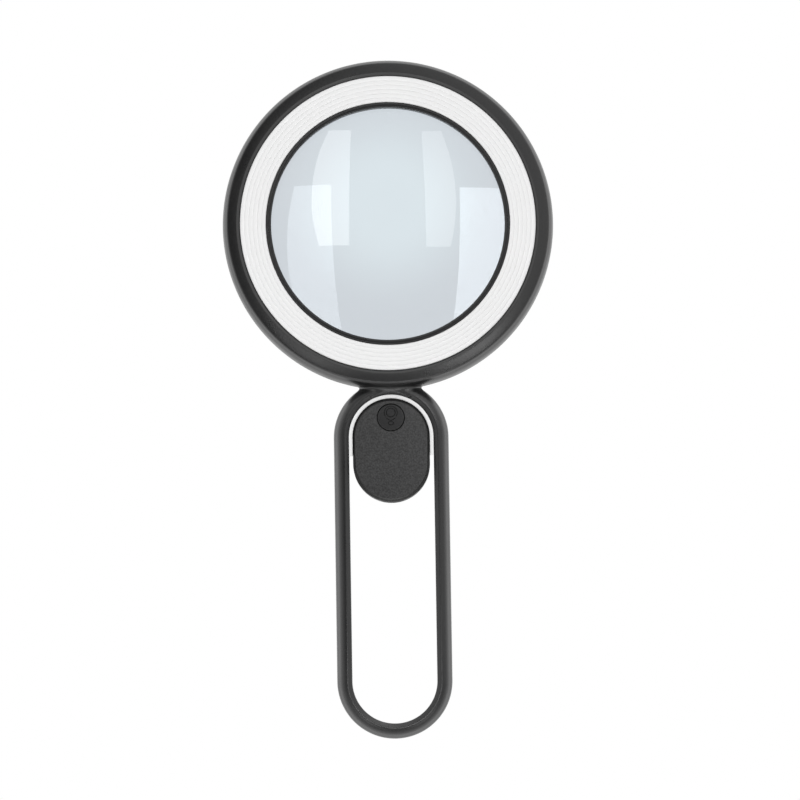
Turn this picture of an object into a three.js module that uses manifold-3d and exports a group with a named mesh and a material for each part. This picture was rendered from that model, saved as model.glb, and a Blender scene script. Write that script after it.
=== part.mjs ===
// Lit hand magnifier with an open loop handle, in millimetres.
// +X to the user's right, the viewing side faces -Y, +Z runs from the handle up to the lens.
// The origin is the middle of the hand grip.
import * as THREE from 'three';
import { mergeVertices } from 'three/addons/utils/BufferGeometryUtils.js';
import Module from 'manifold-3d';

const wasm = await Module();
wasm.setup();

// ---- driving dimensions -------------------------------------------------
const GAP = 0.3;              // clearance between neighbouring pieces
const SPLIT = GAP / 2;        // each half stops this far from the middle plane

const HEAD_Z = 142.5;         // height of the lens centre
const HEAD_R = 70.5;          // outer radius of the head
const HEAD_Y = 10;            // half thickness of the head
const FACE_R = 67.7;          // where the flat black face starts to round off
const LIP_R = 62.9;           // inner edge of the black face
const HEAD_STEPS = 56;
const INNER_STEPS = 40;       // rings that stay hidden

const LENS_R = 51.8;
const LENS_FRONT_CURVE = 230; // radii of the two lens surfaces
const LENS_REAR_CURVE = 1000;
const LENS_FRONT = -9.62;     // crown of the front surface
const LENS_REAR = 1.38;       // crown of the rear surface
const LENS_SEEN_R = 49.7;     // free radius of the lens

const RING_IN = 52.1;         // white ring around the lens
const RING_OUT = 62.6;
const RIDGES = 6;
const RIDGE_HEIGHT = 0.28;
const FLANGE_R = 63.7;

const LOOP_OUT = 24.4;        // handle loop, a stadium seen from the front
const LOOP_IN = 18;
const LOOP_CREST = 19.7;      // highest line of the loop's front
const LOOP_HALF = 51.6;        // height of the arc centres above and below the origin
const LOOP_Y = 6;             // half depth of the loop
const LOOP_STEPS = 36;
const FILLET_R = 1.2;         // corner between loop and head

const POD_R = 16.3;           // oval pod inside the loop
const POD_Z = 45.95;
const POD_HALF = 5.65;
const POD_Y = 7.5;
const POD_WALL = 1.6;
const TRIM_OUT = 17.7;        // white arch between pod and loop
const TRIM_IN = 16.6;
const TRIM_END_Z = 43.5;
const TRIM_Y = 5.4;

const BUTTON_Z = 59.7;
const BUTTON_R = 5.6;
const BUTTON_HOLE_R = 5.9;
const BOARD_FRONT = 0.6;      // front face of the control board
const BOARD_REAR = 1.8;
const LEDS = 12;
const LED_RADIUS = 58.9;
const LED_BOARD_FRONT = -3.2;
const LED_BOARD_REAR = -1.8;

// ---- helpers ------------------------------------------------------------
const paint = (colour, roughness, metalness = 0) =>
  new THREE.MeshStandardMaterial({ color: colour, roughness, metalness });

function toSolid(geometry) {
  const plain = geometry.clone();
  plain.deleteAttribute('normal');
  plain.deleteAttribute('uv');
  const merged = mergeVertices(plain, 1e-4);
  const mesh = new wasm.Mesh({
    numProp: 3,
    vertProperties: new Float32Array(merged.attributes.position.array),
    triVerts: new Uint32Array(merged.index.array),
  });
  return new wasm.Manifold(mesh);
}

function toGeometry(solid) {
  const mesh = solid.getMesh();
  const geometry = new THREE.BufferGeometry();
  geometry.setAttribute('position', new THREE.BufferAttribute(mesh.vertProperties, 3));
  geometry.setIndex(new THREE.BufferAttribute(mesh.triVerts, 1));
  geometry.computeVertexNormals();
  return geometry;
}

const join = (first, ...rest) => toGeometry(
  rest.reduce((sum, extra) => sum.add(toSolid(extra)), toSolid(first)));

const cut = (body, ...tools) => toGeometry(
  tools.reduce((rest, tool) => rest.subtract(toSolid(tool)), toSolid(body)));

// turned piece about the Y axis; profile is a list of [radius, y]
function turned(profile, steps, start = 0) {
  const closed = profile[0][0] > 0;
  const points = profile.map(([r, y]) => new THREE.Vector2(r, y));
  const area = THREE.ShapeUtils.area(points);
  if (area < 0) points.reverse();
  if (closed) points.push(points[0].clone());
  return new THREE.LatheGeometry(points, steps, start);
}

// turned piece pulled apart along Z into a stadium
function stadium(profile, steps, half, z) {
  const geometry = turned(profile, steps, Math.PI / steps);
  const position = geometry.attributes.position;
  for (let i = 0; i < position.count; i += 1) {
    const height = position.getZ(i);
    if (Math.abs(height) > 1e-4) position.setZ(i, height + Math.sign(height) * half);
  }
  return geometry.translate(0, 0, z);
}

// flat outline in X and Z, thick from y0 to y1
const plate = (shape, y0, y1, curveSegments = 12) =>
  new THREE.ExtrudeGeometry(shape, { depth: y1 - y0, bevelEnabled: false, curveSegments })
    .rotateX(Math.PI / 2)
    .translate(0, y1, 0);

const block = (x0, x1, y0, y1, z0, z1) =>
  new THREE.BoxGeometry(x1 - x0, y1 - y0, z1 - z0)
    .translate((x0 + x1) / 2, (y0 + y1) / 2, (z0 + z1) / 2);

const rod = (x, z, radius, y0, y1, sides = 10) =>
  new THREE.CylinderGeometry(radius, radius, y1 - y0, sides)
    .translate(x, (y0 + y1) / 2, z);

function roundedBox(halfX, z0, z1, radius) {
  const shape = new THREE.Shape();
  shape.absarc(halfX - radius, z1 - radius, radius, 0, Math.PI / 2);
  shape.absarc(radius - halfX, z1 - radius, radius, Math.PI / 2, Math.PI);
  shape.absarc(radius - halfX, z0 + radius, radius, Math.PI, 1.5 * Math.PI);
  shape.absarc(halfX - radius, z0 + radius, radius, 1.5 * Math.PI, 2 * Math.PI);
  return shape;
}

function wire(points, radius, steps) {
  const path = new THREE.CatmullRomCurve3(points.map((p) => new THREE.Vector3(...p)));
  const section = new THREE.Shape();
  for (let i = 0; i < 6; i += 1) {
    const angle = i * Math.PI / 3;
    const corner = [radius * Math.cos(angle), radius * Math.sin(angle)];
    if (i === 0) section.moveTo(...corner);
    else section.lineTo(...corner);
  }
  return new THREE.ExtrudeGeometry(section, { extrudePath: path, steps, bevelEnabled: false });
}

const part = new THREE.Group();
part.name = 'lit_loop_handle_magnifier';

function add(name, geometry, material) {
  const mesh = new THREE.Mesh(geometry, material);
  mesh.name = name;
  part.add(mesh);
}

const mirrorY = (profile) => profile.map(([r, y]) => [r, -y]);

// ---- screws: where they sit and how long they are -------------------------
const headScrews = [45, 135, 225, 315].map((degrees) => {
  const angle = THREE.MathUtils.degToRad(degrees);
  return {
    x: 66 * Math.cos(angle), z: HEAD_Z + 66 * Math.sin(angle),
    top: 9.6, under: 8.4, tip: -6.5, shank: 0.8, head: 1.5, boss: 2, floor: 7.8,
  };
});
const loopScrews = [-1, 1].map((side) => ({
  x: side * 21.2, z: -40, top: 5.2, under: 4.2, tip: -3.3, shank: 0.65, head: 1.2, boss: 1.5, floor: 4.5,
}));
const podScrews = [-1, 1].map((side) => ({
  x: side * 12.3, z: 44, top: 7.1, under: 6.1, tip: -5, shank: 0.75, head: 1.4, boss: 1.9, floor: 6,
}));

const rearBoss = (s) => rod(s.x, s.z, s.boss, SPLIT, s.floor);
const frontBoss = (s) => rod(s.x, s.z, s.boss, -s.floor, -SPLIT);
const rearBore = (s) => join(
  rod(s.x, s.z, s.shank + GAP, -0.5, s.top),
  rod(s.x, s.z, s.head + GAP, s.under - GAP, HEAD_Y + 1));
const frontBore = (s) => rod(s.x, s.z, s.shank + GAP, s.tip - GAP, 0.5);

function screw(s) {
  const body = turned([
    [0, s.tip], [s.shank, s.tip + 0.6], [s.shank, s.under], [s.head, s.under],
    [s.head, s.top - 0.3], [s.head - 0.3, s.top], [0, s.top],
  ], 12).translate(s.x, 0, s.z);
  const long = s.head * 0.62;
  return cut(
    body,
    block(s.x - long, s.x + long, s.top - 0.5, s.top + 1, s.z - 0.16, s.z + 0.16),
    block(s.x - 0.16, s.x + 0.16, s.top - 0.5, s.top + 1, s.z - long, s.z + long));
}

// ---- head and loop shells -------------------------------------------------
const headOuter = [0, 18, 38, 60, 78].map((degrees) => {
  const angle = THREE.MathUtils.degToRad(degrees);
  return [FACE_R + (HEAD_R - FACE_R) * Math.sin(angle), -HEAD_Y * Math.cos(angle)];
});
const headProfile = [
  [LIP_R, -9.3], [63.7, -HEAD_Y], ...headOuter,
  [HEAD_R, -SPLIT], [68.3, -SPLIT], [68.3, -5.2], [66.8, -7.6], [LIP_R, -7.6],
];
const loopOuter = [0, 22, 45, 68].map((degrees) => {
  const angle = THREE.MathUtils.degToRad(degrees);
  return [
    LOOP_CREST + (LOOP_OUT - LOOP_CREST) * Math.sin(angle),
    -LOOP_Y * Math.cos(angle),
  ];
});
const loopProfile = [
  [LOOP_IN, -4.6], [18.5, -5.5], ...loopOuter,
  [LOOP_OUT, -SPLIT], [22.7, -SPLIT], [22.3, -3.2], [21, -4.4],
  [19.6, -4.2], [19.6, -SPLIT], [LOOP_IN, -SPLIT],
];

// small web that rounds the corner where the loop meets the head
function neckWeb(side) {
  const far = HEAD_R + FILLET_R;
  const near = LOOP_OUT + FILLET_R;
  const span = HEAD_Z - LOOP_HALF;
  const drop = (far * far - near * near + span * span) / (2 * span);
  const centreX = Math.sqrt(far * far - drop * drop);
  const centreZ = HEAD_Z - drop;
  const up = Math.atan2(HEAD_Z - centreZ, -centreX);
  const down = Math.atan2(LOOP_HALF - centreZ, -centreX) + 2 * Math.PI;
  const shape = new THREE.Shape();
  shape.moveTo(side * 10.5, HEAD_Z - 68.5);
  for (let i = 0; i <= 8; i += 1) {
    const angle = up + (down - up) * i / 8;
    shape.lineTo(
      side * (centreX + FILLET_R * Math.cos(angle)),
      centreZ + FILLET_R * Math.sin(angle));
  }
  shape.lineTo(side * 10.5, LOOP_HALF + 19.5);
  return shape;
}

function shell(front) {
  const flip = (profile) => (front ? profile : mirrorY(profile));
  const screws = [...headScrews, ...loopScrews];
  const web = (side) => plate(neckWeb(side), front ? -5.2 : SPLIT, front ? -SPLIT : 5.2);
  const body = join(
    turned(flip(headProfile), HEAD_STEPS).translate(0, 0, HEAD_Z),
    stadium(flip(loopProfile), LOOP_STEPS, LOOP_HALF, 0),
    web(-1),
    web(1),
    ...screws.map(front ? frontBoss : rearBoss));
  return cut(
    body,
    block(-5.4, 5.4, -4.2, 4.2, 66, 79),
    ...screws.map(front ? frontBore : rearBore));
}

const blackPlastic = () => paint(0x17181a, 0.5);
add('front_shell', shell(true), blackPlastic());
add('rear_shell', shell(false), blackPlastic());

// ---- lens and what holds it ----------------------------------------------
const sag = (r, curve) => curve - Math.sqrt(curve * curve - r * r);
const lensRadii = [0, 15, 28, 40, LENS_R];
add('lens', turned([
  ...lensRadii.map((r) => [r, LENS_FRONT + sag(r, LENS_FRONT_CURVE)]),
  ...lensRadii.slice().reverse().map((r) => [r, LENS_REAR - sag(r, LENS_REAR_CURVE)]),
], HEAD_STEPS).translate(0, 0, HEAD_Z), paint(0xdbe7ec, 0.05));

add('lens_bezel', turned([
  [LENS_SEEN_R, -4.6], [49.8, -6.7], [50.4, -7.6], [51.2, -7.6],
  [LENS_R, -6.9], [LENS_R, -5.5], [53.5, -5.5], [53.5, -4.1], [51.6, -4.1],
], HEAD_STEPS).translate(0, 0, HEAD_Z), paint(0x141416, 0.3));

add('lens_retainer', turned([
  [LENS_SEEN_R, 0.9], [49.8, 6.7], [50.4, 7.6], [51.2, 7.6],
  [LENS_R, 6.9], [LENS_R, 5.5], [53.5, 5.5], [53.5, 0.5], [51.6, 0.5],
], HEAD_STEPS).translate(0, 0, HEAD_Z), paint(0x141416, 0.3));

add('lens_gasket', turned([
  [LENS_R + GAP, -3.8], [53.5, -3.8], [53.5, 0.2], [LENS_R + GAP, 0.2],
], INNER_STEPS).translate(0, 0, HEAD_Z), paint(0x2a2a2c, 0.8));

// ---- white rings, lamp board and lamps ------------------------------------
const ringSlope = (r) => -7.3 - 2 * (r - RING_IN) / (RING_OUT - RING_IN);
const ridgeLine = [];
for (let i = 0; i < RIDGES; i += 1) {
  const valley = RING_IN + (RING_OUT - RING_IN) * i / RIDGES;
  const crest = valley + (RING_OUT - RING_IN) / RIDGES / 2;
  ridgeLine.push([valley, ringSlope(valley)], [crest, ringSlope(crest) - RIDGE_HEIGHT]);
}
const ringBack = [
  [RING_OUT, ringSlope(RING_OUT)], [RING_OUT, -7.25], [FLANGE_R, -7.25],
  [FLANGE_R, -6], [RING_IN, -5.9],
];
add('light_ring', turned([...ridgeLine, ...ringBack], HEAD_STEPS).translate(0, 0, HEAD_Z),
  paint(0xe9eaec, 0.45));
add('rear_diffuser', turned(mirrorY([[RING_IN, -7.3], ...ringBack]), HEAD_STEPS)
  .translate(0, 0, HEAD_Z), paint(0xf0f1f2, 0.5));

add('led_board', turned([
  [54.5, LED_BOARD_FRONT], [63.3, LED_BOARD_FRONT],
  [63.3, LED_BOARD_REAR], [54.5, LED_BOARD_REAR],
], INNER_STEPS).translate(0, 0, HEAD_Z), paint(0xe6e8e4, 0.5));

for (let i = 0; i < LEDS; i += 1) {
  const lamp = join(
    block(-1.7, 1.7, LED_BOARD_REAR + GAP, -0.4, LED_RADIUS - 1.4, LED_RADIUS + 1.4),
    rod(0, LED_RADIUS, 1.1, -0.5, 0.1, 8));
  lamp.rotateY((i + 0.5) * 2 * Math.PI / LEDS).translate(0, 0, HEAD_Z);
  add(`led_${String(i + 1).padStart(2, '0')}`, lamp, paint(0xf2e9a8, 0.35));
}

// ---- white arch between pod and loop ---------------------------------------
const arch = new THREE.Shape();
arch.moveTo(TRIM_OUT, TRIM_END_Z);
arch.absarc(0, LOOP_HALF, TRIM_OUT, 0, Math.PI, false);
arch.lineTo(-TRIM_OUT, TRIM_END_Z);
arch.lineTo(-TRIM_IN, TRIM_END_Z);
arch.absarc(0, LOOP_HALF, TRIM_IN, Math.PI, 0, true);
arch.lineTo(TRIM_IN, TRIM_END_Z);
add('trim_arch', cut(
  plate(arch, -TRIM_Y, TRIM_Y, 24),
  block(-5.4, 5.4, -3.6, 4.2, 66, 72)), paint(0xeeeff0, 0.45));

// ---- pod: cover, housing with its neck tongue -------------------------------
const podProfile = [
  [0, -POD_Y], [14.7, -POD_Y], [15.7, -7.1], [POD_R, -6.1], [POD_R, -SPLIT],
  [POD_R - POD_WALL, -SPLIT], [POD_R - POD_WALL, -5.4], [14, -5.9], [0, -5.9],
];
const socketSlot = block(-4.8, 4.8, -3.2, 0.6, 22, 28);
const wireDoor = block(-3, 3, -2.6, 0.05, 64, 70);
const podFront = join(
  stadium(podProfile, LOOP_STEPS, POD_HALF, POD_Z),
  ...podScrews.map(frontBoss));
add('pod_cover', cut(
  podFront,
  rod(0, BUTTON_Z, BUTTON_HOLE_R, -POD_Y - 1, -5, 32),
  socketSlot,
  wireDoor,
  ...podScrews.map(frontBore)), paint(0x3b3c3f, 0.6));

const podRear = join(
  stadium(mirrorY(podProfile), LOOP_STEPS, POD_HALF, POD_Z),
  block(-5, 5, 0.6, 3.6, 66.5, 77),
  ...podScrews.map(rearBoss));
add('pod_housing', cut(podRear, socketSlot, ...podScrews.map(rearBore)), paint(0x3b3c3f, 0.6));

// ---- inside the pod ---------------------------------------------------------
const boardShape = new THREE.Shape();
boardShape.absarc(0, POD_Z + POD_HALF, 14, 0, Math.PI, false);
boardShape.absarc(0, POD_Z - POD_HALF, 14, Math.PI, 2 * Math.PI, false);
add('control_board', cut(
  plate(boardShape, BOARD_FRONT, BOARD_REAR, 16),
  ...podScrews.map((s) => rod(s.x, s.z, s.boss + GAP, 0, 3))), paint(0x1f5a3c, 0.5));

add('switch_base', cut(
  block(-3, 3, -1.7, BOARD_FRONT - GAP, BUTTON_Z - 3, BUTTON_Z + 3),
  rod(0, BUTTON_Z, 1.9, -3, -0.1)), paint(0x202124, 0.5));

add('battery_cell', plate(roundedBox(9, 31.5, 50.5, 1.2), -5.2, 0.2, 3),
  paint(0xb9bcc0, 0.4, 0.6));

const socketOuter = roundedBox(4.5, -1.6, 1.6, 1.5);
socketOuter.holes.push(new THREE.Path(roundedBox(4.1, -1.2, 1.2, 1.1).getPoints(4).reverse()));
const socketTube = new THREE.ExtrudeGeometry(
  socketOuter, { depth: 5.4, bevelEnabled: false, curveSegments: 4 })
  .translate(0, -1.3, 25.6);
add('charge_socket', join(
  socketTube,
  block(-4.3, 4.3, -2.7, 0.1, 29.8, 30.9),
  block(-3, 3, -1.65, -0.95, 26.6, 30)), paint(0xc4c6c9, 0.3, 1));

// ---- wires --------------------------------------------------------------------
for (const [name, x, colour] of [['lamp_lead_plus', -1.4, 0xb02020], ['lamp_lead_minus', 1.4, 0x18181a]]) {
  add(name, wire([
    [x, -0.2, 64.3], [x, -1.2, 66.5], [x, -1.6, 70], [x, -2, 74.5],
    [x, -3.9, 78], [x, -3.95, 80.5], [x, -3.95, 82.5],
  ], 0.42, 18), paint(colour, 0.6));
}
for (const [name, x, colour] of [['cell_lead_plus', -5, 0xb02020], ['cell_lead_minus', 5, 0x18181a]]) {
  add(name, wire([
    [x, -2.4, 50.9], [x, -2.2, 52.5], [x, -0.6, 54.5], [x, -0.15, 56.5],
  ], 0.4, 8), paint(colour, 0.6));
}

// ---- screws ---------------------------------------------------------------------
headScrews.forEach((s, i) => add(`head_screw_${i + 1}`, screw(s), paint(0x8f9296, 0.35, 1)));
loopScrews.forEach((s, i) => add(`loop_screw_${i + 1}`, screw(s), paint(0x8f9296, 0.35, 1)));
podScrews.forEach((s, i) => add(`pod_screw_${i + 1}`, screw(s), paint(0x8f9296, 0.35, 1)));

// ---- push button and the switch plunger it drives ---------------------------------
const icon = new THREE.Shape();
icon.absarc(0, BUTTON_Z + 1.95, 2.1, 0, 2 * Math.PI, false);
const iconHole = new THREE.Path();
iconHole.absarc(0, BUTTON_Z + 1.95, 1.7, 0, 2 * Math.PI, true);
icon.holes.push(iconHole);
const bar = (tilt) => block(-1.5, 1.5, -8.2, -7.8, -0.2, 0.2)
  .rotateY(tilt)
  .translate(0, 0, BUTTON_Z - 1.5);
const cap = join(
  turned([
    [0, -8], [3.4, -7.95], [5, -7.75], [BUTTON_R, -7.3], [BUTTON_R, -5.5], [6.6, -5.5],
    [6.6, -4.7], [2, -4.7], [2, -2.9], [0, -2.9],
  ], 24).translate(0, 0, BUTTON_Z),
  plate(icon, -8.2, -7.8, 10),
  bar(0.5),
  bar(-0.5));
const capFlat = block(-8, 8, -5.5, -4.5, BUTTON_Z + 5.1, BUTTON_Z + 8);
add('button_cap', cut(cap, capFlat), paint(0x303134, 0.6));

add('switch_plunger', rod(0, BUTTON_Z, 1.6, -2.6, -1.2, 12), paint(0xd8d8d8, 0.5));

export default part;
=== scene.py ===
import math

import bmesh
import bpy
import numpy as np
from mathutils import Matrix, Quaternion, Vector


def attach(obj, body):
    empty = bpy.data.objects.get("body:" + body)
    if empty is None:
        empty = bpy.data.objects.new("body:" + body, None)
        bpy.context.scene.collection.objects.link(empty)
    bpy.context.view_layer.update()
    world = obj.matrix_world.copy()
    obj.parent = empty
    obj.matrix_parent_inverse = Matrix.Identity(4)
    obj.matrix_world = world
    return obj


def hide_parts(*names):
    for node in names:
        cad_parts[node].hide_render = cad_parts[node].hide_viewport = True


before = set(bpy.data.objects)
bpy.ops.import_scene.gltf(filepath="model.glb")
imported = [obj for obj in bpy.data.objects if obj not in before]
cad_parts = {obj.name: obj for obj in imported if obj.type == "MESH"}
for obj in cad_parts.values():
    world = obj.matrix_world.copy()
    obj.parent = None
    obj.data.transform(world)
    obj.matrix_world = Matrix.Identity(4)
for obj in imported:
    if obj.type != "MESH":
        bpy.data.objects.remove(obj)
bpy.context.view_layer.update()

# ---- sizes in millimetres, in the part's own frame ---------------------------
MM = 0.001
HEAD_Z = 142.5                # height of the lens centre
HEAD_R = 70.5                 # outer radius of the head
FACE_R = 67.7                 # where the flat black face starts to round off
HEAD_Y = 10.0                 # half thickness of the head
LIP_R = 62.9                  # inner edge of the black ring, seen from the front
LOOP_OUT = 24.4
LOOP_IN = 18.0
LOOP_CREST = 19.7             # radius at which the loop stands furthest forward
LOOP_HALF = 51.6              # height of the arc centres above and below the origin
LOOP_Y = 6.0
SPLIT = 0.003                 # each half stops this far from the middle plane
PARTING_CHAMFER = 0.14
BORE_GAP = 0.3                # clearance around and under a screw's head
SHANK_GAP = 0.15              # clearance around a screw's shank
POD_R = 16.3
POD_Z = 45.95
POD_HALF = 5.65
POD_Y = 7.5
BUTTON_Z = 59.7
BUTTON_FACE_Y = -7.97
LENS_R = 51.8
LENS_FRONT = -9.62            # crown of the front surface
LENS_REAR = 1.38              # crown of the rear surface
LENS_FRONT_CURVE = 230.0
LENS_REAR_CURVE = 1000.0
LENS_OFF_CENTRE = 6.5         # shifts the rear surface's reflections sideways
RING_IN = 51.95
RING_OUT = 62.8
RIDGES = 6
RIDGE_HEIGHT = 0.32
ARCH_FOOT = 43.5              # lower ends of the white arch
ARCH_Y = 5.7
SCREW_RING_R = 66             # the head screws stand on this circle
TINT_RISE = 9                 # the lens is bluest this far above its centre
STUDIO_PEAK = 2.8             # brightest part of the surroundings
LENS_CENTRE = (0, 0, HEAD_Z * MM)
CAMERA_PITCH = 4.267          # degrees upwards
CAMERA_ROLL = -0.89           # degrees

CORNERS = ((-1, -1), (1, -1), (1, 1), (-1, 1))
BOX_SIDES = [(i, (i + 1) % 4, 4 + (i + 1) % 4, 4 + i) for i in range(4)]

# ---- mesh helpers ------------------------------------------------------------
def rounded(points, closed=True, steps=5):
    """Polyline of (a, b, fillet radius) with each corner replaced by an arc."""
    out = []
    count = len(points)
    for i, (a, b, radius) in enumerate(points):
        here = Vector((a, b))
        if radius <= 0 or (not closed and i in (0, count - 1)):
            out.append((a, b))
            continue
        before = Vector(points[i - 1][:2]) - here
        after = Vector(points[(i + 1) % count][:2]) - here
        angle = before.angle(after)
        if angle > math.pi - 0.02:
            out.append((a, b))
            continue
        reach = radius / math.tan(angle / 2)
        reach = min(reach, before.length * 0.49, after.length * 0.49)
        radius = reach * math.tan(angle / 2)
        bisector = (before.normalized() + after.normalized()).normalized()
        centre = here + bisector * (radius / math.sin(angle / 2))
        start = here + before.normalized() * reach - centre
        end = here + after.normalized() * reach - centre
        sweep = start.angle_signed(end)
        for k in range(steps + 1):
            p = centre + Matrix.Rotation(-sweep * k / steps, 2) @ start
            out.append((p.x, p.y))
    return out


def counter_clockwise(profile):
    area = sum(
        a[0] * b[1] - b[0] * a[1] for a, b in zip(profile, profile[1:] + profile[:1])
    )
    return profile if area > 0 else profile[::-1]


def sweep(profile, columns, close_ends=False):
    """Sweeps a closed (radius, y) profile over (centre x, centre z, direction x, direction z)."""
    profile = counter_clockwise(profile)
    rows = len(profile)
    verts = [
        (cx + dx * r, y, cz + dz * r) for cx, cz, dx, dz in columns for r, y in profile
    ]
    total = len(columns)
    last = total - 1 if close_ends else total
    faces = []
    for c in range(last):
        for k in range(rows):
            a = c * rows + k
            b = c * rows + (k + 1) % rows
            c2 = (c + 1) % total
            faces.append((a, b, c2 * rows + (k + 1) % rows, c2 * rows + k))
    if close_ends:
        faces.append(tuple(range(rows))[::-1])
        faces.append(tuple((total - 1) * rows + k for k in range(rows)))
    return verts, faces


def circle_columns(steps, z=HEAD_Z, x=0.0):
    return [
        (x, z, math.cos(2 * math.pi * i / steps), math.sin(2 * math.pi * i / steps))
        for i in range(steps)
    ]


def stadium_columns(half, z=0.0, arc_steps=64, straight_steps=12):
    columns = []
    for side, start in ((1, 0.0), (-1, math.pi)):
        for i in range(arc_steps + 1):
            angle = start + math.pi * i / arc_steps
            columns.append((0, z + side * half, math.cos(angle), math.sin(angle)))
        for i in range(1, straight_steps):
            t = i / straight_steps
            columns.append((0, z + side * half * (1 - 2 * t), -side, 0))
    return columns


def disc(profile, columns):
    """Sweeps an open profile whose two ends lie on the axis, closed there by fans."""
    inner = profile[1:-1]
    verts, faces = [], []
    rows = len(inner)
    for cx, cz, dx, dz in columns:
        verts += [(cx + dx * r, y, cz + dz * r) for r, y in inner]
    total = len(columns)
    for c in range(total):
        c2 = (c + 1) % total
        for k in range(rows - 1):
            faces.append((c * rows + k, c * rows + k + 1, c2 * rows + k + 1, c2 * rows + k))
    z = sum(c[1] for c in columns) / total
    x = sum(c[0] for c in columns) / total
    for end, k in ((profile[0], 0), (profile[-1], rows - 1)):
        tip = len(verts)
        verts.append((x, end[1], z))
        for c in range(total):
            c2 = (c + 1) % total
            pair = (c * rows + k, c2 * rows + k)
            faces.append((tip, *(pair if k == 0 else pair[::-1])))
    return verts, faces


def merge(*parts):
    verts, faces = [], []
    for v, f in parts:
        base = len(verts)
        verts += list(v)
        faces += [tuple(i + base for i in face) for face in f]
    return verts, faces


def mirror_y(part):
    verts, faces = part
    return [(x, -y, z) for x, y, z in verts], [face[::-1] for face in faces]


def new_object(name, data):
    obj = bpy.data.objects.new(name, data)
    bpy.context.scene.collection.objects.link(obj)
    return obj


def make(name, part, material, angle=32):
    """Blender object from a part in millimetres, with outward faces and smooth curved areas."""
    verts, faces = part
    mesh = bpy.data.meshes.new(name)
    mesh.from_pydata([(x * MM, y * MM, z * MM) for x, y, z in verts], [], faces)
    bm = bmesh.new()
    bm.from_mesh(mesh)
    bmesh.ops.remove_doubles(bm, verts=bm.verts, dist=1e-7)
    bmesh.ops.recalc_face_normals(bm, faces=bm.faces)
    bm.to_mesh(mesh)
    bm.free()
    obj = new_object(name, mesh)
    mesh.materials.append(material)
    smooth(obj, angle)
    return obj


def smooth(obj, angle):
    mesh = obj.data
    mesh.polygons.foreach_set("use_smooth", [True] * len(mesh.polygons))
    mesh.set_sharp_from_angle(angle=math.radians(angle))


def cut(obj, *cutters, angle=32, crossing=False):
    """Takes the cutters out of the object and removes them; crossing allows for overlapping shells."""
    for cutter in cutters:
        modifier = obj.modifiers.new("cut", "BOOLEAN")
        modifier.operation = "DIFFERENCE"
        modifier.solver = "EXACT"
        modifier.use_self = crossing
        modifier.object = cutter
    graph = bpy.context.evaluated_depsgraph_get()
    mesh = bpy.data.meshes.new_from_object(obj.evaluated_get(graph))
    obj.modifiers.clear()
    old = obj.data
    obj.data = mesh
    bpy.data.meshes.remove(old)
    for cutter in cutters:
        bpy.data.objects.remove(cutter)
    smooth(obj, angle)


def place(obj, body, slot, *nodes):
    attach(obj, body)
    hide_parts(*nodes)


def surface_net(field, origin, step):
    """Closed mesh where a sampled field crosses zero; the field is negative inside."""
    inside = field < 0
    corners = [(i, j, k) for i in (0, 1) for j in (0, 1) for k in (0, 1)]
    nx, ny, nz = (n - 1 for n in field.shape)
    total = np.zeros((nx, ny, nz, 3))
    hits = np.zeros((nx, ny, nz))
    for a in corners:
        for axis in range(3):
            if a[axis]:
                continue
            b = tuple(1 if n == axis else a[n] for n in range(3))
            fa = field[a[0] : a[0] + nx, a[1] : a[1] + ny, a[2] : a[2] + nz]
            fb = field[b[0] : b[0] + nx, b[1] : b[1] + ny, b[2] : b[2] + nz]
            crossing = (fa < 0) != (fb < 0)
            t = np.where(crossing, fa / np.where(crossing, fa - fb, 1), 0)
            point = np.array(a, float) + t[..., None] * (np.arange(3) == axis)
            total += np.where(crossing[..., None], point, 0)
            hits += crossing
    used = hits > 0
    index = -np.ones(used.shape, int)
    index[used] = np.arange(used.sum())
    cells = np.argwhere(used)
    verts = origin + step * (cells + total[used] / hits[used][:, None])
    faces = []
    for axis in range(3):
        u, v = (axis + 1) % 3, (axis + 2) % 3
        low = [slice(None)] * 3
        high = [slice(None)] * 3
        low[axis], high[axis] = slice(None, -1), slice(1, None)
        change = inside[tuple(low)] != inside[tuple(high)]
        for cell in np.argwhere(change):
            if cell[u] == 0 or cell[v] == 0:
                continue
            quad = []
            for du, dv in ((0, 0), (1, 0), (1, 1), (0, 1)):
                near = cell.copy()
                near[u] -= du
                near[v] -= dv
                quad.append(int(index[tuple(near)]))
            faces.append(tuple(quad))
    return [tuple(p) for p in verts], faces

# ---- materials ---------------------------------------------------------------
def new_material(name):
    material = bpy.data.materials.new(name)
    material.use_nodes = True
    nodes = material.node_tree.nodes
    return material, nodes, material.node_tree.links, nodes["Principled BSDF"]


def noise(nodes, links, coords, scale, detail=3.0, roughness=0.55):
    node = nodes.new("ShaderNodeTexNoise")
    node.inputs["Scale"].default_value = scale
    node.inputs["Detail"].default_value = detail
    node.inputs["Roughness"].default_value = roughness
    links.new(coords.outputs["Object"], node.inputs["Vector"])
    return node


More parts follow.
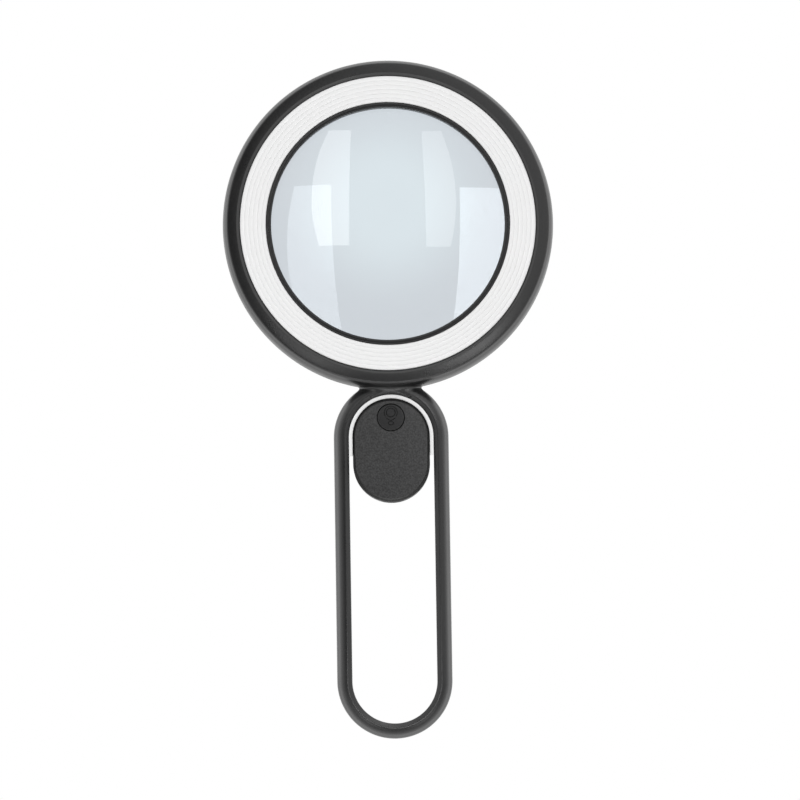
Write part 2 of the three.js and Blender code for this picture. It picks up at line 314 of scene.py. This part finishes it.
def moulded(name, colour, roughness, grain=0.0, grain_size=0.35, spread=0.08, tint=0.12):
    """Moulded plastic or rubber: fine surface grain, uneven gloss and slight colour drift."""
    material, nodes, links, shader = new_material(name)
    coords = nodes.new("ShaderNodeTexCoord")
    broad = noise(nodes, links, coords, 55.0, 4.0)
    fine = noise(nodes, links, coords, 1000.0 / grain_size, 2.0)
    shift = nodes.new("ShaderNodeMapRange")
    shift.inputs["From Min"].default_value = 0.3
    shift.inputs["From Max"].default_value = 0.7
    shift.inputs["To Min"].default_value = roughness - spread / 2
    shift.inputs["To Max"].default_value = roughness + spread / 2
    links.new(broad.outputs["Fac"], shift.inputs["Value"])
    links.new(shift.outputs["Result"], shader.inputs["Roughness"])
    mix = nodes.new("ShaderNodeMix")
    mix.data_type = "RGBA"
    mix.inputs["A"].default_value = (*[c * (1 - tint) for c in colour], 1)
    mix.inputs["B"].default_value = (*[min(1, c * (1 + tint)) for c in colour], 1)
    contrast = nodes.new("ShaderNodeMapRange")
    contrast.inputs["From Min"].default_value = 0.32
    contrast.inputs["From Max"].default_value = 0.68
    links.new(fine.outputs["Fac"], contrast.inputs["Value"])
    links.new(contrast.outputs["Result"], mix.inputs["Factor"])
    links.new(mix.outputs["Result"], shader.inputs["Base Color"])
    if grain > 0:
        bump = nodes.new("ShaderNodeBump")
        bump.inputs["Strength"].default_value = grain
        bump.inputs["Distance"].default_value = 0.00008
        links.new(fine.outputs["Fac"], bump.inputs["Height"])
        links.new(bump.outputs["Normal"], shader.inputs["Normal"])
    return material


def metal(name, colour, roughness, scratch=0.25):
    material, nodes, links, shader = new_material(name)
    shader.inputs["Metallic"].default_value = 1.0
    shader.inputs["Base Color"].default_value = (*colour, 1)
    coords = nodes.new("ShaderNodeTexCoord")
    lines = noise(nodes, links, coords, 2500.0, 2.0)
    shift = nodes.new("ShaderNodeMapRange")
    shift.inputs["To Min"].default_value = roughness * (1 - scratch)
    shift.inputs["To Max"].default_value = roughness * (1 + scratch)
    links.new(lines.outputs["Fac"], shift.inputs["Value"])
    links.new(shift.outputs["Result"], shader.inputs["Roughness"])
    bump = nodes.new("ShaderNodeBump")
    bump.inputs["Strength"].default_value = 0.2
    bump.inputs["Distance"].default_value = 0.00003
    links.new(lines.outputs["Fac"], bump.inputs["Height"])
    links.new(bump.outputs["Normal"], shader.inputs["Normal"])
    return material


def lens_glass(name, ior):
    """Clear plastic, bluish around a point above the centre, greyer and darker outwards as painted shade
    towards the rim, lightly smudged.
    """
    material, nodes, links, shader = new_material(name)
    shader.inputs["Transmission Weight"].default_value = 1.0
    shader.inputs["IOR"].default_value = ior
    coords = nodes.new("ShaderNodeTexCoord")
    split = nodes.new("ShaderNodeSeparateXYZ")
    links.new(coords.outputs["Object"], split.inputs["Vector"])
    across = nodes.new("ShaderNodeCombineXYZ")
    links.new(split.outputs["X"], across.inputs["X"])
    links.new(split.outputs["Z"], across.inputs["Z"])
    from_axis = nodes.new("ShaderNodeVectorMath")
    from_axis.operation = "DISTANCE"
    from_axis.inputs[1].default_value = (0, 0, (HEAD_Z + TINT_RISE) * MM)
    links.new(across.outputs["Vector"], from_axis.inputs[0])
    # Mask for painted shade: the base colour darkens towards the lens's rim.
    rim_shade = nodes.new("ShaderNodeMapRange")
    rim_shade.interpolation_type = "SMOOTHSTEP"
    rim_shade.inputs["From Min"].default_value = 0.012
    rim_shade.inputs["From Max"].default_value = 0.05
    links.new(from_axis.outputs["Value"], rim_shade.inputs["Value"])
    mix = nodes.new("ShaderNodeMix")
    mix.data_type = "RGBA"
    mix.inputs["A"].default_value = (0.785, 0.87, 0.915, 1)
    mix.inputs["B"].default_value = (0.67, 0.715, 0.76, 1)
    links.new(rim_shade.outputs["Result"], mix.inputs["Factor"])
    links.new(mix.outputs["Result"], shader.inputs["Base Color"])
    smudge = noise(nodes, links, coords, 30.0, 5.0)
    shift = nodes.new("ShaderNodeMapRange")
    shift.inputs["From Min"].default_value = 0.45
    shift.inputs["From Max"].default_value = 0.75
    shift.inputs["To Min"].default_value = 0.0
    shift.inputs["To Max"].default_value = 0.008
    links.new(smudge.outputs["Fac"], shift.inputs["Value"])
    links.new(shift.outputs["Result"], shader.inputs["Roughness"])
    return material


black = moulded("black_plastic", (0.0085, 0.0085, 0.0088), 0.3, grain=0.45, grain_size=0.75, tint=0.2)
pod_grey = moulded("pod_grey", (0.035, 0.035, 0.0355), 0.5, grain=0.8, grain_size=0.7, tint=0.45)
button_grey = moulded("button_grey", (0.011, 0.011, 0.0115), 0.5, grain=0.5, grain_size=0.5, tint=0.3)
bezel_black = moulded("bezel_black", (0.012, 0.012, 0.013), 0.28, grain=0.05)
ring_white = moulded("ring_white", (0.9, 0.9, 0.9), 0.42, grain=0.1, tint=0.02)
trim_white = moulded("trim_white", (0.9, 0.9, 0.9), 0.45, grain=0.1, tint=0.02)
diffuser_white = moulded("diffuser_white", (0.62, 0.62, 0.62), 0.35, grain=0.1, tint=0.02)


def dark_rim_and_painted_shade(material, rim_and_shade_colour=(0.004, 0.004, 0.004, 1)):
    """Keeps a colour on front and rear faces only and turns the sides near-black: painted shade around the
    button's edge, and on the pod the black rim together with painted shade in its recess.
    """
    nodes, links = material.node_tree.nodes, material.node_tree.links
    shader = nodes["Principled BSDF"]
    source = shader.inputs["Base Color"].links[0].from_socket
    coords = nodes.new("ShaderNodeTexCoord")
    split = nodes.new("ShaderNodeSeparateXYZ")
    links.new(coords.outputs["Normal"], split.inputs["Vector"])
    size = nodes.new("ShaderNodeMath")
    size.operation = "ABSOLUTE"
    links.new(split.outputs["Y"], size.inputs[0])
    facing = nodes.new("ShaderNodeMapRange")
    facing.inputs["From Min"].default_value = 0.84
    facing.inputs["From Max"].default_value = 0.93
    links.new(size.outputs["Value"], facing.inputs["Value"])
    mix = nodes.new("ShaderNodeMix")
    mix.data_type = "RGBA"
    mix.inputs["A"].default_value = rim_and_shade_colour
    links.new(source, mix.inputs["B"])
    links.new(facing.outputs["Result"], mix.inputs["Factor"])
    links.new(mix.outputs["Result"], shader.inputs["Base Color"])


# Pod and button sides get painted shade: near-black whatever the light.
for sided in (pod_grey, button_grey):
    dark_rim_and_painted_shade(sided)
screw_steel = metal("screw_steel", (0.42, 0.43, 0.45), 0.32)
socket_steel = metal("socket_steel", (0.6, 0.6, 0.62), 0.25)
glass = lens_glass("lens_clear", 1.49)
glass_rear = lens_glass("lens_clear_rear", 1.8)  # higher than acrylic, for a stronger reflection

# ---- head and loop shells ----------------------------------------------------
def quarter(start_r, width, depth, steps=14):
    """Outer rounding: quarter ellipse from the front face to the parting line."""
    top = math.acos(SPLIT / depth)
    return [
        (start_r + width * math.sin(top * i / steps), -depth * math.cos(top * i / steps))
        for i in range(steps + 1)
    ]


def head_ring():
    lip = rounded(
        [(66.8, -7.6, 0), (LIP_R, -7.6, 0.1), (LIP_R, -8.95, 0.2), (64.3, -HEAD_Y, 0.25),
         (FACE_R, -HEAD_Y, 0)],
        closed=False,
    )
    outer = quarter(FACE_R, HEAD_R - FACE_R, HEAD_Y)
    outer[-1] = (HEAD_R, -SPLIT - PARTING_CHAMFER)
    outer.append((HEAD_R - PARTING_CHAMFER, -SPLIT))
    profile = lip[1:-1] + outer + [(68.3, -SPLIT), (68.3, -5.2), (66.8, -7.6)]
    return sweep(profile, circle_columns(256))


def loop_band():
    inner = rounded(
        [(LOOP_IN, -SPLIT - PARTING_CHAMFER, 0), (LOOP_IN, -5.1, 0.2), (19.6, -5.97, 0.1),
         (LOOP_CREST, -LOOP_Y, 0)],
        closed=False,
    )
    outer = quarter(LOOP_CREST, LOOP_OUT - LOOP_CREST, LOOP_Y)
    outer[-1] = (LOOP_OUT, -SPLIT - PARTING_CHAMFER)
    outer.append((LOOP_OUT - PARTING_CHAMFER, -SPLIT))
    profile = inner[:-1] + outer
    profile += [(22.7, -SPLIT), (22.3, -3.2), (21, -4.4), (19.6, -4.2), (19.6, -SPLIT)]
    profile.append((LOOP_IN + PARTING_CHAMFER, -SPLIT))
    return sweep(profile, stadium_columns(LOOP_HALF, arc_steps=80, straight_steps=16))


def rounding_distance(r, y, start, width, depth):
    """Approximate distance to a face that rounds off from start to start + width."""
    over = np.maximum(r - start, 0)
    f = (over / width) ** 2 + (y / depth) ** 2 - 1
    slope = 2 * np.sqrt((over / width**2) ** 2 + (y / depth**2) ** 2) + 1e-6
    return f / slope


def neck_saddle():
    """Smooth web where the loop runs into the head."""
    step = 0.25
    low = np.array([-21.0, -10.6, 66.5])
    shape = (169, 44, 60)
    x, y, z = (
        low[i] + step * np.arange(shape[i]).reshape([-1 if i == j else 1 for j in range(3)])
        for i in range(3)
    )
    from_head = np.sqrt(x**2 + (z - HEAD_Z) ** 2)
    from_loop = np.sqrt(x**2 + (z - LOOP_HALF) ** 2)
    head = rounding_distance(from_head, y, FACE_R, HEAD_R - FACE_R, HEAD_Y)
    loop = rounding_distance(from_loop, y, LOOP_CREST, LOOP_OUT - LOOP_CREST, LOOP_Y)
    blend = 2.2
    h = np.clip(0.5 + 0.5 * (loop - head) / blend, 0, 1)
    field = loop * (1 - h) + head * h - blend * h * (1 - h) + 0.05
    limits = [y + SPLIT, 68.8 - z, z - 77.5, np.abs(x) - 19.0, 18.9 - from_loop, 66.5 - from_head]
    for limit in limits:
        field = np.maximum(field, limit)
    return surface_net(field, low, step)


front_part = merge(head_ring(), loop_band(), neck_saddle())


def lead_channel():
    """Box that takes the two lamp leads from the pod through the arch into the neck."""
    low = [(x, y, 64.6) for x, y in ((-2.1, -2.3), (2.1, -2.3), (2.1, 1.0), (-2.1, 1.0))]
    high = [(x, y - 2.1 if y < 0 else y, 79.0) for x, y, z in low]
    return make("tool", (low + high, [(3, 2, 1, 0), (4, 5, 6, 7), *BOX_SIDES]), black)


front = make("front_shell_skin", front_part, black, angle=40)
cut(front, lead_channel(), angle=40, crossing=True)
place(front, "frame", "black_plastic", "front_shell")

rear = make("rear_shell_skin", mirror_y(front_part), black, angle=40)

# Screws go in from the rear: (x, z, underside of the head, height, head radius, shank radius, tip)
head_screws = [
    (SCREW_RING_R * math.cos(a), HEAD_Z + SCREW_RING_R * math.sin(a), 8.4, 1.2, 1.5, 0.8, -6.5)
    for a in (math.pi * (2 * i + 1) / 4 for i in range(4))
]
loop_screws = [(side * 21.2, -40.0, 4.2, 1.0, 1.2, 0.65, -3.3) for side in (-1, 1)]
pod_screws = [(side * 12.3, 44.0, 6.1, 1.0, 1.4, 0.75, -5.0) for side in (-1, 1)]


def bore_tool(screw):
    """Stepped cutter for the counterbore above a screw's seat and the hole for its shank."""
    x, z, under, height, head, shank, tip = screw
    edge = head + BORE_GAP
    hole = shank + SHANK_GAP
    seat = under - BORE_GAP
    profile = [(0, 0.5), (hole, 0.5), (hole, seat), (edge, seat), (edge, 12), (0, 12)]
    return make("tool", disc(profile, circle_columns(40, z, x)), black)


cut(rear, *[bore_tool(screw) for screw in head_screws + loop_screws], angle=40)
place(rear, "frame", "black_plastic", "rear_shell")


def screw_skin(name, screw, node):
    """Pan head with a cross recess on a threaded shank."""
    x, z, under, height, head, shank, tip = screw
    top = under + height
    profile = rounded(
        [(0, top, 0), (head * 0.55, top, 0.2), (head, under + height * 0.45, 0.25), (head, under, 0.05),
         (shank, under, 0)],
        closed=False,
    )
    pitch = 0.5
    y = under - 0.3
    while y - pitch > tip + 1:
        profile += [(shank, y), (shank * 0.78, y - pitch / 2)]
        y -= pitch
    profile += [(shank * 0.75, tip + 0.6), (0, tip)]
    obj = make(name, disc(profile, circle_columns(40, z, x)), screw_steel)
    arm, half, depth = head * 0.62, head * 0.13, height * 0.6
    tools = []
    for wide, tall in ((arm, half), (half, arm)):
        bottom = [(x + sx * wide * 0.7, top - depth, z + sz * tall * 0.7) for sx, sz in CORNERS]
        upper = [(x + sx * wide, top + 0.2, z + sz * tall) for sx, sz in CORNERS]
        tools.append(make("tool", (bottom + upper, [(0, 1, 2, 3), (4, 5, 6, 7), *BOX_SIDES]), screw_steel))
    cut(obj, *tools)
    place(obj, "frame", "screw_steel", node)


for kind, screws in (("head", head_screws), ("loop", loop_screws), ("pod", pod_screws)):
    for i, screw in enumerate(screws, 1):
        screw_skin(f"{kind}_screw_{i}_skin", screw, f"{kind}_screw_{i}")

# ---- lens, bezel and retainer ------------------------------------------------
def sag(r, curve):
    return curve - math.sqrt(curve**2 - r * r)


radii = [LENS_R * (i / 40) for i in range(41)]
lens_profile = [(r, LENS_FRONT + sag(r, LENS_FRONT_CURVE)) for r in radii]
lens_profile += [(r, LENS_REAR - sag(r, LENS_REAR_CURVE)) for r in radii[::-1]]
lens = make("lens_skin", disc(lens_profile, circle_columns(160)), glass, angle=40)
lens.data.materials.append(glass_rear)
LENS_EDGE_Y = -3.5 * MM
for vertex in lens.data.vertices:
    if vertex.co.y > LENS_EDGE_Y:
        vertex.co.y += LENS_OFF_CENTRE * vertex.co.x / LENS_REAR_CURVE
for face in lens.data.polygons:
    if all(lens.data.vertices[i].co.y > LENS_EDGE_Y for i in face.vertices):
        face.material_index = 1
place(lens, "frame", "lens_clear", "lens")

bead = rounded(
    [(49.7, -4.6, 0.1), (49.7, -7.7, 0.95), (51.8, -7.7, 0.95), (51.8, -5.5, 0.1),
     (53.5, -5.5, 0.1), (53.5, -4.1, 0.1), (51.6, -4.1, 0)],
    steps=8,
)
bezel = make("lens_bezel_skin", sweep(bead, circle_columns(224)), bezel_black)
place(bezel, "frame", "bezel_black", "lens_bezel")

holder = rounded(
    [(49.7, 0.9, 0), (49.7, 7.7, 0.95), (51.8, 7.7, 0.95), (51.8, 5.5, 0.1),
     (53.5, 5.5, 0.1), (53.5, 0.5, 0.1), (51.6, 0.5, 0)],
    steps=8,
)
retainer = make("lens_retainer_skin", sweep(holder, circle_columns(224)), bezel_black)
place(retainer, "frame", "bezel_black", "lens_retainer")

# ---- white rings -------------------------------------------------------------
def ridged_face():
    points = []
    steps = 10 * RIDGES
    for i in range(steps + 1):
        t = i / steps
        r = RING_IN + (RING_OUT - RING_IN) * t
        phase = t * RIDGES % 1
        crest = RIDGE_HEIGHT * math.sqrt(max(0.0, 1 - (2 * phase - 1) ** 2))
        points.append((r, -7.25 - 2.0 * t - crest))
    return points


ring_back = [(RING_OUT, -7.25), (63.7, -7.25), (63.7, -6.0), (RING_IN, -5.85)]
ring = make("light_ring_skin", sweep(ridged_face() + ring_back, circle_columns(224)), ring_white, angle=50)
place(ring, "frame", "ring_white", "light_ring")

rear_face = [
    (RING_IN + (RING_OUT - RING_IN) * i / 12, 7.3 + 2.0 * (i / 12) ** 1.5) for i in range(13)
]
rear_back = [(RING_OUT, 7.25), (63.7, 7.25), (63.7, 6.0), (RING_IN, 5.85)]
diffuser = make("rear_diffuser_skin", sweep(rear_face + rear_back, circle_columns(224)), diffuser_white)
place(diffuser, "frame", "diffuser_white", "rear_diffuser")

# ---- white arch between pod and loop -----------------------------------------
arch_columns = [(0, ARCH_FOOT + (LOOP_HALF - ARCH_FOOT) * i / 12, 1, 0) for i in range(12)]
arch_columns += [
    (0, LOOP_HALF, math.cos(math.pi * i / 72), math.sin(math.pi * i / 72)) for i in range(73)
]
arch_columns += [(0, LOOP_HALF - (LOOP_HALF - ARCH_FOOT) * i / 12, -1, 0) for i in range(1, 13)]
arch_section = rounded(
    [(16.37, -ARCH_Y, 0.2), (17.93, -ARCH_Y, 0.2), (17.93, ARCH_Y, 0.2), (16.37, ARCH_Y, 0.2)], steps=3
)
arch_verts, arch_faces = sweep(arch_section, arch_columns, close_ends=True)


def undercut(point):
    """Slopes the two lower ends of the arch up towards the rear."""
    x, y, z = point
    return x, y, z + 0.25 * (y + ARCH_Y) * max(0.0, 1 - (z - ARCH_FOOT) / 8.0)


arch_part = ([undercut(p) for p in arch_verts], arch_faces)
arch = make("trim_arch_skin", arch_part, trim_white)
cut(arch, lead_channel())
place(arch, "frame", "trim_white", "trim_arch")

# ---- pod ---------------------------------------------------------------------
def pod_half():
    """Grey face with a lower rim around it; the material turns the rim near-black, for the black rim
    together with painted shade in the recess.
    """
    profile = rounded(
        [(0, -POD_Y, 0), (15.2, -POD_Y, 0.35), (15.35, -5.6, 0.1), (POD_R, -4.9, 0.5), (POD_R, -SPLIT, 0),
         (14.7, -SPLIT, 0), (14.7, -5.65, 0.15), (14.5, -5.9, 0.1), (0, -5.9, 0)],
        closed=False,
    )
    return disc(profile, stadium_columns(POD_HALF, POD_Z, arc_steps=64, straight_steps=4))


def slot_tool():
    """Upright prism that opens the charging slot at the pod's foot."""
    outline = rounded([(-4.8, -3.2, 1.6), (4.8, -3.2, 1.6), (4.8, 0.6, 1.6), (-4.8, 0.6, 1.6)])
    count = len(outline)
    verts = [(x, y, z) for z in (22.0, 28.0) for x, y in outline]
    faces = [(i, (i + 1) % count, count + (i + 1) % count, count + i) for i in range(count)]
    return make("tool", (verts, [*faces, tuple(range(count)), tuple(range(count, 2 * count))]), pod_grey)


cover = make("pod_cover_skin", pod_half(), pod_grey)
hole = rounded([(0, -9, 0), (6.4, -9, 0), (5.88, -7.25, 0.1), (5.88, -5, 0), (0, -5, 0)], closed=False)
hole_tool = make("tool", disc(hole, circle_columns(96, BUTTON_Z)), pod_grey)
cut(cover, hole_tool, slot_tool(), lead_channel(), crossing=True)
place(cover, "frame", "pod_grey", "pod_cover")

housing = make("pod_housing_skin", mirror_y(pod_half()), pod_grey)
cut(housing, slot_tool(), *[bore_tool(screw) for screw in pod_screws])
place(housing, "frame", "pod_grey", "pod_housing")

# ---- push button -------------------------------------------------------------
cap_profile = rounded(
    [(0, -8.0, 0), (5.2, -7.9, 0.4), (5.6, -7.5, 0.2), (5.6, -5.5, 0), (6.4, -5.5, 0), (6.4, -4.7, 0),
     (2, -4.7, 0), (2, -2.9, 0), (0, -2.9, 0)],
    closed=False,
)


def groove_tool(points, width=0.42, sides=8):
    """Closed tube along points of (x, z) on the button's face."""
    closed = points[0] == points[-1]
    path = [Vector(p) for p in (points[:-1] if closed else points)]
    rings = []
    for i, p in enumerate(path):
        ahead = path[(i + 1) % len(path)] if closed or i + 1 < len(path) else p
        behind = path[i - 1] if closed or i else p
        along = (ahead - behind).normalized()
        side = Vector((-along.y, along.x))
        for k in range(sides):
            a = 2 * math.pi * (k + 0.5) / sides
            q = p + side * (math.cos(a) * width / 2)
            rings.append((q.x, BUTTON_FACE_Y + 0.8 * width * math.sin(a), q.y))
    faces = []
    total = len(path)
    for i in range(total if closed else total - 1):
        j = (i + 1) % total
        for k in range(sides):
            n = (k + 1) % sides
            faces.append((i * sides + k, i * sides + n, j * sides + n, j * sides + k))
    if not closed:
        faces.append(tuple(range(sides)))
        faces.append(tuple(len(rings) - sides + k for k in range(sides))[::-1])
    return make("tool", (rings, faces), button_grey)


def arc_points(x, z, radius, start=0, end=360, steps=40):
    angles = [math.radians(start + (end - start) * i / steps) for i in range(steps + 1)]
    points = [(x + radius * math.cos(a), z + radius * math.sin(a)) for a in angles]
    return points[:-1] + points[:1] if end - start == 360 else points


lamp = BUTTON_Z + 2.0
cap = make("button_cap_skin", disc(cap_profile, circle_columns(96, BUTTON_Z)), button_grey)
cut(
    cap,
    groove_tool(arc_points(0, lamp, 2.75, -35, 215, 32), 0.36),
    groove_tool(arc_points(0, lamp, 1.85)),
    groove_tool([(-1.9, lamp - 2.3), (1.3, lamp - 4.3)], 0.36),
    groove_tool([(1.9, lamp - 2.3), (-1.3, lamp - 4.3)], 0.36),
    groove_tool(arc_points(0, lamp - 3.9, 1.3, 205, 335, 12), 0.36),
)
place(cap, "button", "button_grey", "button_cap")

# ---- CAD pieces that stay, with their own finish -----------------------------
kept = {
    "lens_gasket": moulded("gasket_rubber", (0.03, 0.03, 0.03), 0.8, grain=0.3),
    "led_board": moulded("lamp_board_white", (0.72, 0.75, 0.7), 0.4, grain=0.1),
    "control_board": moulded("board_green", (0.012, 0.09, 0.045), 0.35, grain=0.1),
    "switch_base": moulded("switch_black", (0.02, 0.02, 0.022), 0.45, grain=0.2),
    "switch_plunger": moulded("plunger_white", (0.7, 0.7, 0.68), 0.4, grain=0.1),
    "battery_cell": metal("cell_foil", (0.62, 0.63, 0.65), 0.35),
    "charge_socket": socket_steel,
    "lamp_lead_plus": moulded("wire_red", (0.4, 0.02, 0.02), 0.45, grain=0.1),
    "lamp_lead_minus": moulded("wire_black", (0.02, 0.02, 0.02), 0.45, grain=0.1),
}
kept["cell_lead_plus"] = kept["lamp_lead_plus"]
kept["cell_lead_minus"] = kept["lamp_lead_minus"]
lamp_body = moulded("lamp_body", (0.85, 0.72, 0.25), 0.2, grain=0.05)
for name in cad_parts:
    if name.startswith("led_") and name != "led_board":
        kept[name] = lamp_body
for name, material in kept.items():
    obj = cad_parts[name]
    obj.data.materials.clear()
    obj.data.materials.append(material)

# ---- stage, light and camera -------------------------------------------------
floor_material, nodes, links, shader = new_material("floor_white")
shader.inputs["Base Color"].default_value = (0.9, 0.9, 0.9, 1)
shader.inputs["Roughness"].default_value = 0.9
shader.inputs["Emission Color"].default_value = (1, 1, 1, 1)
shader.inputs["Emission Strength"].default_value = 0.5
floor_mesh = bpy.data.meshes.new("floor")
floor_mesh.from_pydata([(-9, -9, -0.6), (9, -9, -0.6), (9, 9, -0.6), (-9, 9, -0.6)], [], [(0, 1, 2, 3)])
floor = new_object("floor", floor_mesh)
floor_mesh.materials.append(floor_material)
for way in ("diffuse", "glossy", "transmission"):
    setattr(floor, "visible_" + way, False)


def shine_on(light, *pieces):
    """Limits a light to some pieces."""
    lit = bpy.data.collections.new(light.name + "_pieces")
    for piece in pieces:
        lit.objects.link(piece)
    light.light_linking.receiver_collection = lit


def face(obj, position, target):
    """Puts an object in place with its front towards the target."""
    obj.location = position
    obj.rotation_mode = "QUATERNION"
    obj.rotation_quaternion = (Vector(target) - Vector(position)).to_track_quat("-Z", "Y")


def panel_light(name, position, target, width, height, radiance, pieces):
    light = bpy.data.lights.new(name, "AREA")
    light.shape = "RECTANGLE"
    light.size = width
    light.size_y = height
    light.energy = radiance * math.pi * width * height
    obj = new_object(name, light)
    obj.visible_camera = False
    face(obj, position, target)
    shine_on(obj, *pieces)


def softbox(name, position, target, outline, radiance, pieces):
    """Glowing panel of a free outline, given as (u, v) in its own plane."""
    material, nodes, links, shader = new_material(name)
    shader.inputs["Base Color"].default_value = (0, 0, 0, 1)
    shader.inputs["Specular IOR Level"].default_value = 0
    shader.inputs["Emission Color"].default_value = (1, 1, 1, 1)
    shader.inputs["Emission Strength"].default_value = radiance
    mesh = bpy.data.meshes.new(name)
    mesh.from_pydata([(u, v, 0) for u, v in outline], [], [tuple(range(len(outline)))])
    mesh.materials.append(material)
    obj = new_object(name, mesh)
    face(obj, position, target)
    for way in ("camera", "diffuse", "shadow"):
        setattr(obj, "visible_" + way, False)
    shine_on(obj, *pieces)


def bowed(inner, height, widths, side):
    """Outline with a straight inner edge and an outer edge bowed through three widths."""
    top, middle, bottom = widths
    edge = []
    for i in range(17):
        t = -1 + i / 8
        w = middle + (top - bottom) / 2 * t + ((top + bottom) / 2 - middle) * t * t
        edge.append((side * (inner + w), t * height / 2))
    return [(side * inner, -height / 2), *edge, (side * inner, height / 2)]


shiny = (lens, bezel)
left_outline = bowed(0, 0.66, (0.122, 0.207, 0.175), -1)
right_outline = bowed(0, 0.66, (0.106, 0.17, 0.138), 1)
softbox("left_softbox", (-0.21, -1.25, 0.495), LENS_CENTRE, left_outline, 3.5, shiny)
softbox("right_softbox", (0.2, -1.25, 0.48), LENS_CENTRE, right_outline, 2.3, shiny)

dark_pieces = (front, rear, cover, housing, cap)
white_pieces = (ring, arch)


def front_fill(name, x, z, width, height, radiance, pieces, distance=0.3):
    """Light panel squarely in front of (x, z); its places and sizes are in metres."""
    panel_light(name, (x, -distance, z), (x, 0, z), width, height, radiance, pieces)


front_fill("head_fill", 0.135, 0.28, 0.35, 0.36, 1.0, dark_pieces)
for side in (-1, 1):
    front_fill("chin_fill", side * 0.04, 0.091, 0.03, 0.03, 3.2 + 0.6 * side, (front,), distance=0.1)
front_fill("grip_fill", 0.15, 0.0, 0.3, 0.1, 0.9, dark_pieces)
front_fill("foot_fill", 0.0, -0.085, 0.12, 0.06, 6.0, (front,))
for side in (-1, 1):
    front_fill("foot_side_fill", side * 0.13, -0.22, 0.14, 0.16, 1.7, (front,))
front_fill("white_fill", 0.0, 0.14, 1.2, 1.2, 0.42, white_pieces, distance=0.8)
front_fill("arch_fill", 0.0, 0.05, 0.3, 0.3, 0.45, (arch,))

world = bpy.data.worlds.new("studio")
bpy.context.scene.world = world
world.use_nodes = True
nodes, links = world.node_tree.nodes, world.node_tree.links
background = nodes["Background"]
coords = nodes.new("ShaderNodeTexCoord")
split = nodes.new("ShaderNodeSeparateXYZ")
links.new(coords.outputs["Generated"], split.inputs["Vector"])
height = nodes.new("ShaderNodeMapRange")
height.inputs["From Min"].default_value = -1.0
links.new(split.outputs["Y"], height.inputs["Value"])
ramp = nodes.new("ShaderNodeValToRGB")
links.new(height.outputs["Result"], ramp.inputs["Fac"])
# Brightness of the surroundings from in front (0) to behind (1); the camera itself sees white.
stops = [(0.0, 0.1), (0.05, 0.35), (0.19, 0.95), (0.29, 1.3), (0.41, 1.65), (0.53, 2.2), (0.62, 2.8),
         (0.72, 2.2), (0.82, 1.1), (0.86, 1.0)]
while len(ramp.color_ramp.elements) < len(stops):
    ramp.color_ramp.elements.new(0.5)
for stop, (position, value) in zip(ramp.color_ramp.elements, stops):
    stop.position = position
    stop.color = (*[value / STUDIO_PEAK] * 3, 1)
level = nodes.new("ShaderNodeMath")
level.operation = "MULTIPLY"
level.inputs[1].default_value = STUDIO_PEAK
links.new(ramp.outputs["Color"], level.inputs[0])
path = nodes.new("ShaderNodeLightPath")
seen = nodes.new("ShaderNodeMath")
seen.operation = "MAXIMUM"
links.new(level.outputs["Value"], seen.inputs[0])
links.new(path.outputs["Is Camera Ray"], seen.inputs[1])
links.new(seen.outputs["Value"], background.inputs["Strength"])
background.inputs["Color"].default_value = (1, 1, 1, 1)

camera_data = bpy.data.cameras.new("camera")
camera_data.lens = 181.3
camera_data.sensor_width = 36.0
camera = new_object("camera", camera_data)
camera.location = (0.0040, -1.710, -0.060)
camera.rotation_mode = "QUATERNION"
pitch = math.radians(CAMERA_PITCH)
roll = Quaternion((0, 0, 1), math.radians(CAMERA_ROLL))
ahead = Vector((0, math.cos(pitch), math.sin(pitch)))
camera.rotation_quaternion = ahead.to_track_quat("-Z", "Y") @ roll
bpy.context.scene.camera = camera
bpy.context.scene.view_settings.view_transform = "Standard"
